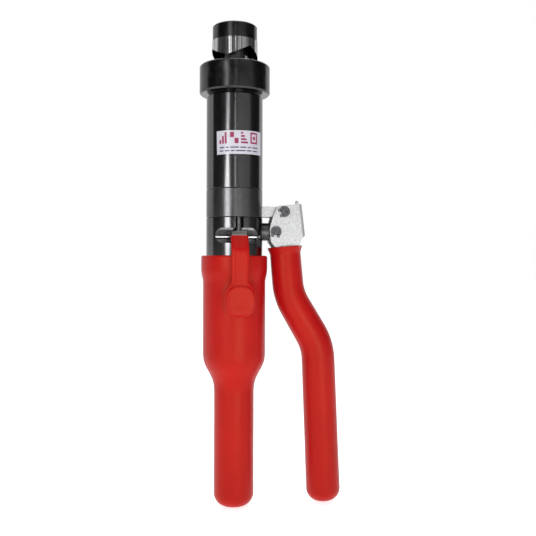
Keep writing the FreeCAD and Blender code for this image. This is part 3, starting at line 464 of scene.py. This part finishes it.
def sleeve_radius(z):
    """Outer radius of the sleeve at a height in millimetres, bottom rounding left out."""
    shoulder = [
        (-284.0, 17.4), (-279.2, 17.75), (-273.9, 19.05), (-268.7, 21.6),
        (-263.4, 24.6), (-258.1, 26.75), (-252.8, 27.3),
    ]
    if z < -252.8:
        return linear(shoulder, z)
    return curve_through([(-189.5, 27.3), (-178.5, 29.0)], z)


def linear(knots, x):
    if x <= knots[0][0]:
        return knots[0][1]
    for (x0, y0), (x1, y1) in zip(knots, knots[1:]):
        if x <= x1:
            return y0 + (y1 - y0) * (x - x0) / (x1 - x0)
    return knots[-1][1]


def smoothed(values, times):
    for _ in range(times):
        middle = [(a + 2 * b + c) / 4 for a, b, c in zip(values, values[1:], values[2:])]
        values = [values[0]] + middle + [values[-1]]
    return values


def sleeve_outline():
    """Closed half outline (radius, height) in metres, from the bottom up the outside and down inside."""
    low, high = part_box("handle_sleeve")
    bottom, top = low.z, high.z
    outline = []
    for i in range(13):
        a = math.radians(90.0 * i / 12)
        out = SLEEVE_GRIP_R - SLEEVE_END_R + SLEEVE_END_R * math.sin(a)
        outline.append((out, bottom + SLEEVE_END_R - SLEEVE_END_R * math.cos(a)))
    run = top - SLEEVE_RIM - bottom - SLEEVE_END_R
    heights = [bottom + SLEEVE_END_R + run * i / SLEEVE_ROWS for i in range(1, SLEEVE_ROWS + 1)]
    radii = smoothed([sleeve_radius(z / MM) for z in heights], 6)
    outline += [(r * MM, z) for r, z in zip(radii, heights)]
    outer = outline[-1][0]
    for i in range(1, 7):
        a = math.radians(15.0 * i)
        out = outer - SLEEVE_RIM + SLEEVE_RIM * math.cos(a)
        outline.append((out, top - SLEEVE_RIM + SLEEVE_RIM * math.sin(a)))
    inner = TUBE_R + 0.02 * MM
    small = SLEEVE_INNER_RIM
    for i in range(7):
        a = math.radians(90.0 - 15.0 * i)
        out = inner + small - small * math.cos(math.pi / 2 - a)
        outline.append((out, top - small + small * math.sin(a)))
    outline += [(inner, top - 6 * MM), (inner, BLOCK_BOTTOM), (inner, BLOCK_BOTTOM - 0.5 * MM)]
    inside = [z for z in reversed(heights) if BLOCK_BOTTOM - 2 * MM > z > bottom + 14 * MM]
    outline += [(min(inner, sleeve_radius(z / MM) * MM - SLEEVE_WALL), z) for z in inside[::3]]
    outline += [(13.0 * MM, bottom + 8 * MM), (9.0 * MM, bottom + 6.2 * MM)]
    return outline


def make_sleeve():
    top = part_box("handle_sleeve")[1].z
    rings = []
    for r, z in sleeve_outline():
        ring = []
        for i in range(SLEEVE_SIDES):
            a = TURN * i / SLEEVE_SIDES
            out = Vector((math.cos(a), math.sin(a), 0))
            sway = noise.noise(Vector((out.x * 1.4, out.y * 1.4, z * 28))) * 0.16 * MM
            lip = noise.noise(Vector((out.x * 2.2 + 7, out.y * 2.2, 0.5))) * 0.35 * MM
            near_rim = smoothstep(top - 6 * MM, top, z)
            skin_share = smoothstep(TUBE_R, TUBE_R + 1.5 * MM, r) if z > top - 40 * MM else 1.0
            swell = min(0.0, sway) * skin_share
            ring.append(out * (r + swell) + Vector((0, 0, z - abs(lip) * near_rim)))
        rings.append(ring)
    return add_piece(skin("sleeve_skin", rings), "red_vinyl", "handle", "handle_sleeve")


# ---------------------------------------------------------------- lever grip
GRIP_CORNERS = [
    Vector((45.0, 0, -157.6)) * MM,
    Vector((48.8, 0, -200.8)) * MM,
    Vector((75.1, 0, -245.4)) * MM,
    Vector((80.8, 0, -384.0)) * MM,
]
GRIP_BEND = 50 * MM
GRIP_SIDES = 120
GRIP_BORE = 12.42 * MM
GRIP_END_R = 11.0 * MM
GRIP_WOBBLE = 0.18 * MM
GRIP_LIP = 1.9 * MM
GRIP_LIP_LENGTH = 7.5 * MM


def grip_ring(centre, tangent, radius, wobble):
    side = Vector((0, 1, 0))
    across = side.cross(tangent).normalized()
    ring = []
    for i in range(GRIP_SIDES):
        a = TURN * i / GRIP_SIDES
        out = across * math.cos(a) + side * math.sin(a)
        sway = noise.noise(Vector((out.x * 1.2 + 3, out.y * 1.2, centre.z * 26))) * wobble
        ring.append(centre + out * (radius + min(0.0, sway)))
    return ring


def make_lever_grip():
    """Dipped skin along the bent lever: rolled lip at the top, rounded closed end, open bore inside."""
    points = rounded_path(GRIP_CORNERS, GRIP_BEND, 1.5 * MM)
    lengths = path_lengths(points)
    tangents = path_tangents(points)
    total = lengths[-1]
    round_end = GRIP_END_R
    widths = [(0.0, 13.5), (40 * MM, 13.85), (90 * MM, 14.6), (total, 15.0)]
    radii = []
    for s in lengths:
        body = linear(widths, s) * MM
        lip = GRIP_LIP * (1 - smoothstep(0.0, GRIP_LIP_LENGTH, s)) ** 1.3
        radii.append(body + lip)
    outer = []
    for point, tangent, radius, s in zip(points, tangents, radii, lengths):
        if s < total - round_end:
            outer.append(grip_ring(point, tangent, radius, GRIP_WOBBLE))
    end_r = radii[-1]
    base = points[-1] - tangents[-1] * round_end
    for i in range(17):
        a = math.radians(90.0 * i / 16)
        radius = end_r - round_end + round_end * math.cos(a)
        centre = base + tangents[-1] * (round_end * math.sin(a))
        outer.append(grip_ring(centre, tangents[-1], radius, GRIP_WOBBLE * 0.5))
    rim = []
    thick = radii[0] - GRIP_BORE
    for i in range(9):
        a = math.radians(180.0 * i / 8)
        radius = GRIP_BORE + thick / 2 - thick / 2 * math.cos(a)
        centre = points[0] + tangents[0] * (0.7 * MM * (1 - math.sin(a)))
        rim.append(grip_ring(centre, tangents[0], radius, 0.0))
    bore = []
    for point, tangent, s in reversed(list(zip(points, tangents, lengths))[1::4]):
        if s < total - 8 * MM:
            bore.append(grip_ring(point, tangent, GRIP_BORE, 0.0))
    rings = bore + rim + outer[1:]
    return add_piece(skin("lever_skin", rings), "red_vinyl", "lever", "lever_grip")


# ---------------------------------------------------------------- release lever grip
RELEASE_X = 1.8 * MM
SHANK_Y = -31.8 * MM
SHANK_HALF = 7.5 * MM
PADDLE_HALF = 13.2 * MM
PADDLE_TOP = -190.9 * MM
PADDLE_BOTTOM = -218.0 * MM
STRIP_HALF = 2.2 * MM
STRIP_SIDES = 96
PADDLE_CORNER = 11.0 * MM
PAD_CORNER = 11.2 * MM
PAD_LIFT = 1.15 * MM
PAD_DISH = 0.25 * MM


def paddle_half_width(z):
    """Half width of the coated strip at a height."""
    corner = PADDLE_CORNER
    if z > PADDLE_TOP + 4 * MM:
        return SHANK_HALF
    if z > PADDLE_TOP - 8 * MM:
        t = smoothstep(PADDLE_TOP + 4 * MM, PADDLE_TOP - 8 * MM, z)
        return SHANK_HALF + (PADDLE_HALF - SHANK_HALF) * t ** 0.8
    low = z - PADDLE_BOTTOM
    if low < corner:
        drop = corner - max(low, 0.0)
        return PADDLE_HALF - corner + math.sqrt(max(corner ** 2 - drop ** 2, 0.0))
    return PADDLE_HALF


def strip_section(centre, tangent, half_width, half_thick, power):
    across = Vector((1, 0, 0))
    outward = across.cross(tangent).normalized()
    if outward.y > 0:
        outward.negate()
    ring = []
    for i in range(STRIP_SIDES):
        a = TURN * i / STRIP_SIDES
        c, s = math.cos(a), math.sin(a)
        u = math.copysign(abs(c) ** (2 / power), c) * half_width
        v = math.copysign(abs(s) ** (2 / power), s) * half_thick
        ring.append(centre + across * u + outward * v)
    return ring


def paddle_edge_distance(point):
    """How far a point lies inside the paddle's rounded outline, seen from the front."""
    corner = PAD_CORNER
    middle_z = (PADDLE_TOP + PADDLE_BOTTOM) / 2
    past_side = abs(point.x - RELEASE_X) - (PADDLE_HALF - corner)
    past_end = abs(point.z - middle_z) - ((PADDLE_TOP - PADDLE_BOTTOM) / 2 - corner)
    outside = math.hypot(max(past_side, 0.0), max(past_end, 0.0))
    return corner - outside - min(max(past_side, past_end), 0.0)


def raise_pad(point):
    """Lifts the thumb face out of the paddle's front."""
    face_y = SHANK_Y - STRIP_HALF
    if point.y < SHANK_Y:
        front_share = smoothstep(SHANK_Y, face_y + 0.3 * MM, point.y)
        inside = paddle_edge_distance(point)
        lift = PAD_LIFT * smoothstep(0.5 * MM, 1.9 * MM, inside) * front_share
        dish = PAD_DISH * smoothstep(4.0 * MM, 11.0 * MM, inside) * front_share
        point.y -= lift - dish
    return point


def make_release_grip():
    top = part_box("release_lever_grip")[1].z
    slope_top = Vector((RELEASE_X, -25.0 * MM, top))
    bend = Vector((RELEASE_X, SHANK_Y, -162.0 * MM))
    foot = Vector((RELEASE_X, SHANK_Y, PADDLE_BOTTOM))
    points = rounded_path([slope_top, bend, foot], 9 * MM, 0.45 * MM)
    tangents = path_tangents(points)
    rings = []
    for point, tangent in zip(points, tangents):
        close = min(1.0, (point.z - PADDLE_BOTTOM) / (1.9 * MM))
        thick = STRIP_HALF * math.sqrt(max(1 - (1 - close) ** 2, 0.04))
        opened = min(1.0, (top - point.z) / (1.0 * MM))
        thick *= 0.8 + 0.2 * math.sqrt(max(1 - (1 - opened) ** 2, 0.0))
        power = 2.9 + 1.6 * smoothstep(PADDLE_TOP + 5 * MM, PADDLE_TOP - 8 * MM, point.z)
        ring = strip_section(point, tangent, paddle_half_width(point.z), thick, power)
        rings.append([raise_pad(p) for p in ring])
    skin_obj = skin("release_skin", rings)
    return add_piece(skin_obj, "red_vinyl", "release_lever", "release_lever_grip")


# ---------------------------------------------------------------- rating label
LABEL_AZIMUTH = 7.5
LABEL_TILT = math.radians(1.2)
LABEL_HALF_TURN = math.radians(51.2)
FILM_LIFT = 0.01 * MM
FILM_THICK = 0.12 * MM
INK_LIFT = 0.125 * MM
INK_THICK = 0.02 * MM
PATCH_STEP = 0.6 * MM


def wrapped_patch(bm, outline_low, outline_high, radius, thick, middle_z, steps):
    """Closed thin patch on the cylinder; corners are (along the girth, along the axis) in metres."""
    (u0, w0), (u1, w1) = outline_low, outline_high
    ca, sa = math.cos(LABEL_TILT), math.sin(LABEL_TILT)

    def on_tube(u, w, r):
        along = u * ca - w * sa
        up = u * sa + w * ca
        return front(LABEL_AZIMUTH + math.degrees(along / radius)) * r + Vector((0, 0, middle_z + up))

    rows = []
    for i in range(steps + 1):
        u = u0 + (u1 - u0) * i / steps
        corners = ((w0, radius), (w1, radius), (w1, radius + thick), (w0, radius + thick))
        rows.append([bm.verts.new(on_tube(u, w, r)) for w, r in corners])
    for a, b in zip(rows, rows[1:]):
        for i in range(4):
            j = (i + 1) % 4
            bm.faces.new((a[i], a[j], b[j], b[i]))
    bm.faces.new(rows[0])
    bm.faces.new(rows[-1][::-1])


def patches_object(name, patches, radius, thick, middle_z):
    mesh = bpy.data.meshes.new(name)
    bm = bmesh.new()
    for low, high in patches:
        steps = max(1, int((high[0] - low[0]) / PATCH_STEP))
        wrapped_patch(bm, low, high, radius, thick, middle_z, steps)
    bmesh.ops.recalc_face_normals(bm, faces=bm.faces)
    bm.to_mesh(mesh)
    bm.free()
    obj = bpy.data.objects.new(name, mesh)
    bpy.context.scene.collection.objects.link(obj)
    return obj


def frame_patches(left, right, low, high, stroke):
    """Hollow rectangle from four strokes."""
    return [
        ((left, low), (right, low + stroke)),
        ((left, high - stroke), (right, high)),
        ((left, low + stroke), (left + stroke, high - stroke)),
        ((right - stroke, low + stroke), (right, high - stroke)),
    ]


def generic_marks():
    """Four plain figures in a row: rising bars, two blocks, tapering bars, a frame with a dot."""
    low = -1.0
    high = 8.7
    rise = high - low
    patches = []
    for n in range(3):
        patches.append(((-19.4 + 2.5 * n, low), (-17.6 + 2.5 * n, low + rise * (n + 1) / 3)))
    patches += [((-9.7, 4.2), (-6.3, high)), ((-5.9, low), (-2.5, 3.5))]
    for n in range(4):
        patches.append(((-0.4, low + 2.7 * n), (6.0 - 1.4 * n, low + 2.7 * n + 1.6)))
    patches += frame_patches(8.4, 16.2, low, high, 1.5)
    patches.append(((11.0, 2.5), (13.6, 5.2)))
    return patches


def generic_lines():
    """Two rows of dashes where a plate has its lines of data."""
    rows = (
        (-4.3, (4.4, 2.6, 7.2, 5.6, 3.2, 6.4)),
        (-7.2, (3.4, 4.0, 3.0, 8.4, 4.6, 5.4)),
    )
    patches = []
    for middle, lengths in rows:
        left = -19.2
        for length in lengths:
            patches.append(((left, middle - 0.5), (left + length, middle + 0.5)))
            left += length + 1.3
    return patches


def make_label():
    low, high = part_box("rating_label")
    middle_z = (low.z + high.z) / 2
    half_up = (high.z - low.z) / 2 - 0.35 * MM
    half_girth = LABEL_HALF_TURN * TUBE_R
    whole = [((-half_girth, -half_up), (half_girth, half_up))]
    film = patches_object("label_film_piece", whole, TUBE_R + FILM_LIFT, FILM_THICK, middle_z)
    add_piece(film, "label_film", "cylinder", "rating_label")
    inks = (
        ("label_marks", generic_marks(), (0.230, 0.012, 0.060), (0.300, 0.022, 0.090)),
        ("label_lines", generic_lines(), (0.030, 0.028, 0.055), (0.070, 0.066, 0.110)),
    )
    for name, patches, dark, light in inks:
        scaled = [((u0 * MM, w0 * MM), (u1 * MM, w1 * MM)) for (u0, w0), (u1, w1) in patches]
        ink = patches_object(name, scaled, TUBE_R + INK_LIFT, INK_THICK, middle_z)
        ink.data.materials.append(label_ink(name + "_ink", dark, light))
        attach(ink, "cylinder")


# ---------------------------------------------------------------- stage, lights, camera
FLOOR_Z = -386.0 * MM
FLOOR_R = 14.0
FLOOR_GLOW = 0.75
LOOK_YAW = 8.7
AXIS_OFFSET = 29.7 * MM
STAND_BACK = 651.2 * MM
EYE_Z = -176.7 * MM
LENS = 49.7
SENSOR = 36
ROLL = 0.17
SWEEP_AZIMUTH = 186
OVERHEAD_AIM = Vector((0, 0, -0.15))


SOFTBOXES = (
    # name, azimuth, distance, low, high, width, radiance
    ("strip_left_low", -34, 0.95, -0.22, 0.08, 0.28, 8.5),
    ("strip_left_mid", -33, 0.95, 0.08, 0.22, 0.22, 3.2),
    ("strip_left_high", -32, 0.95, 0.22, 0.55, 0.22, 2.0),
    ("strip_front", -3, 1.25, -0.22, 0.22, 0.05, 5.0),
    ("strip_front_high", -3, 1.25, 0.22, 0.55, 0.04, 2.6),
    ("wide_right", 32, 1.1, -0.22, 0.55, 1.05, 0.36),
    ("grip_right", 13, 1.0, -0.80, -0.22, 0.50, 8.0),
)


def make_floor():
    mesh = bpy.data.meshes.new("floor")
    bm = bmesh.new()
    bmesh.ops.create_circle(bm, cap_ends=True, segments=96, radius=FLOOR_R)
    bm.to_mesh(mesh)
    bm.free()
    floor = bpy.data.objects.new("floor", mesh)
    bpy.context.scene.collection.objects.link(floor)
    floor.location.z = FLOOR_Z
    mesh.materials.append(floor_white())


def make_softbox(name, azimuth, distance, low, high, width, radiance):
    """Upright rectangular light that faces the tool's axis."""
    data = bpy.data.lights.new(name, "AREA")
    data.shape = "RECTANGLE"
    data.size = width
    data.size_y = high - low
    data.energy = radiance * math.pi * width * (high - low)
    box = bpy.data.objects.new(name, data)
    place = front(azimuth) * distance + Vector((0, 0, (low + high) / 2))
    box.location = place
    box.rotation_euler = (-front(azimuth)).to_track_quat("-Z", "Z").to_euler()
    bpy.context.scene.collection.objects.link(box)


def make_overhead(name, location, size, radiance):
    data = bpy.data.lights.new(name, "AREA")
    data.shape = "SQUARE"
    data.size = size
    data.energy = radiance * math.pi * size * size
    box = bpy.data.objects.new(name, data)
    box.location = location
    aim = OVERHEAD_AIM - Vector(location)
    box.rotation_euler = aim.to_track_quat("-Z", "Y").to_euler()
    bpy.context.scene.collection.objects.link(box)


def make_world():
    """White all round to look at; a pale sweep behind the tool and a dim room in front of it to reflect."""
    world = bpy.data.worlds.new("studio")
    world.use_nodes = True
    tree = world.node_tree
    bpy.context.scene.world = world
    surface = tree.nodes["Background"]
    place = tree.nodes.new("ShaderNodeTexCoord")
    along = tree.nodes.new("ShaderNodeVectorMath")
    along.operation = "DOT_PRODUCT"
    tree.links.new(place.outputs["Generated"], along.inputs[0])
    along.inputs[1].default_value = front(SWEEP_AZIMUTH)
    spread = tree.nodes.new("ShaderNodeMapRange")
    spread.inputs["From Min"].default_value = -1
    tree.links.new(along.outputs["Value"], spread.inputs["Value"])
    ramp = tree.nodes.new("ShaderNodeValToRGB")
    ramp.color_ramp.interpolation = "LINEAR"
    stops = [(0.0, 0.16), (0.22, 0.14), (0.36, 0.06), (0.655, 0.06), (0.685, 1.15), (0.90, 0.80)]
    elements = ramp.color_ramp.elements
    while len(elements) < len(stops):
        elements.new(0.5)
    for element, (where, value) in zip(elements, stops):
        element.position = where
        element.color = (value, value, value, 1)
    tree.links.new(spread.outputs["Result"], ramp.inputs["Fac"])
    path = tree.nodes.new("ShaderNodeLightPath")
    mix = tree.nodes.new("ShaderNodeMix")
    mix.data_type = "RGBA"
    tree.links.new(path.outputs["Is Camera Ray"], mix.inputs["Factor"])
    parts = tree.nodes.new("ShaderNodeSeparateXYZ")
    tree.links.new(place.outputs["Generated"], parts.inputs[0])
    level = tree.nodes.new("ShaderNodeMapRange")
    level.inputs["From Min"].default_value = -0.24
    level.inputs["From Max"].default_value = -0.04
    level.inputs["To Min"].default_value = 0.25
    tree.links.new(parts.outputs["Z"], level.inputs["Value"])
    dimmed = tree.nodes.new("ShaderNodeVectorMath")
    dimmed.operation = "SCALE"
    tree.links.new(ramp.outputs["Color"], dimmed.inputs[0])
    tree.links.new(level.outputs["Result"], dimmed.inputs["Scale"])
    tree.links.new(dimmed.outputs[0], mix.inputs["A"])
    mix.inputs["B"].default_value = (1, 1, 1, 1)
    tree.links.new(mix.outputs["Result"], surface.inputs["Color"])


def make_camera():
    yaw = math.radians(LOOK_YAW)
    ahead = Vector((math.sin(yaw), math.cos(yaw), 0))
    right = Vector((math.cos(yaw), -math.sin(yaw), 0))
    data = bpy.data.cameras.new("camera")
    data.lens = LENS
    data.sensor_width = SENSOR
    data.clip_start = 0.01
    camera = bpy.data.objects.new("camera", data)
    camera.location = right * AXIS_OFFSET - ahead * STAND_BACK + Vector((0, 0, EYE_Z))
    level = Matrix.Rotation(-yaw, 4, "Z") @ Matrix.Rotation(math.pi / 2, 4, "X")
    camera.rotation_euler = (level @ Matrix.Rotation(math.radians(ROLL), 4, "Z")).to_euler()
    bpy.context.scene.collection.objects.link(camera)
    bpy.context.scene.camera = camera


finish_cad_nodes()
make_sleeve()
make_lever_grip()
make_release_grip()
make_label()
make_floor()
make_world()
for settings in SOFTBOXES:
    make_softbox(*settings)
make_overhead("overhead", (0.1, -0.15, 1.1), 1.0, 2.0)
make_camera()
bpy.context.scene.view_settings.view_transform = "Standard"
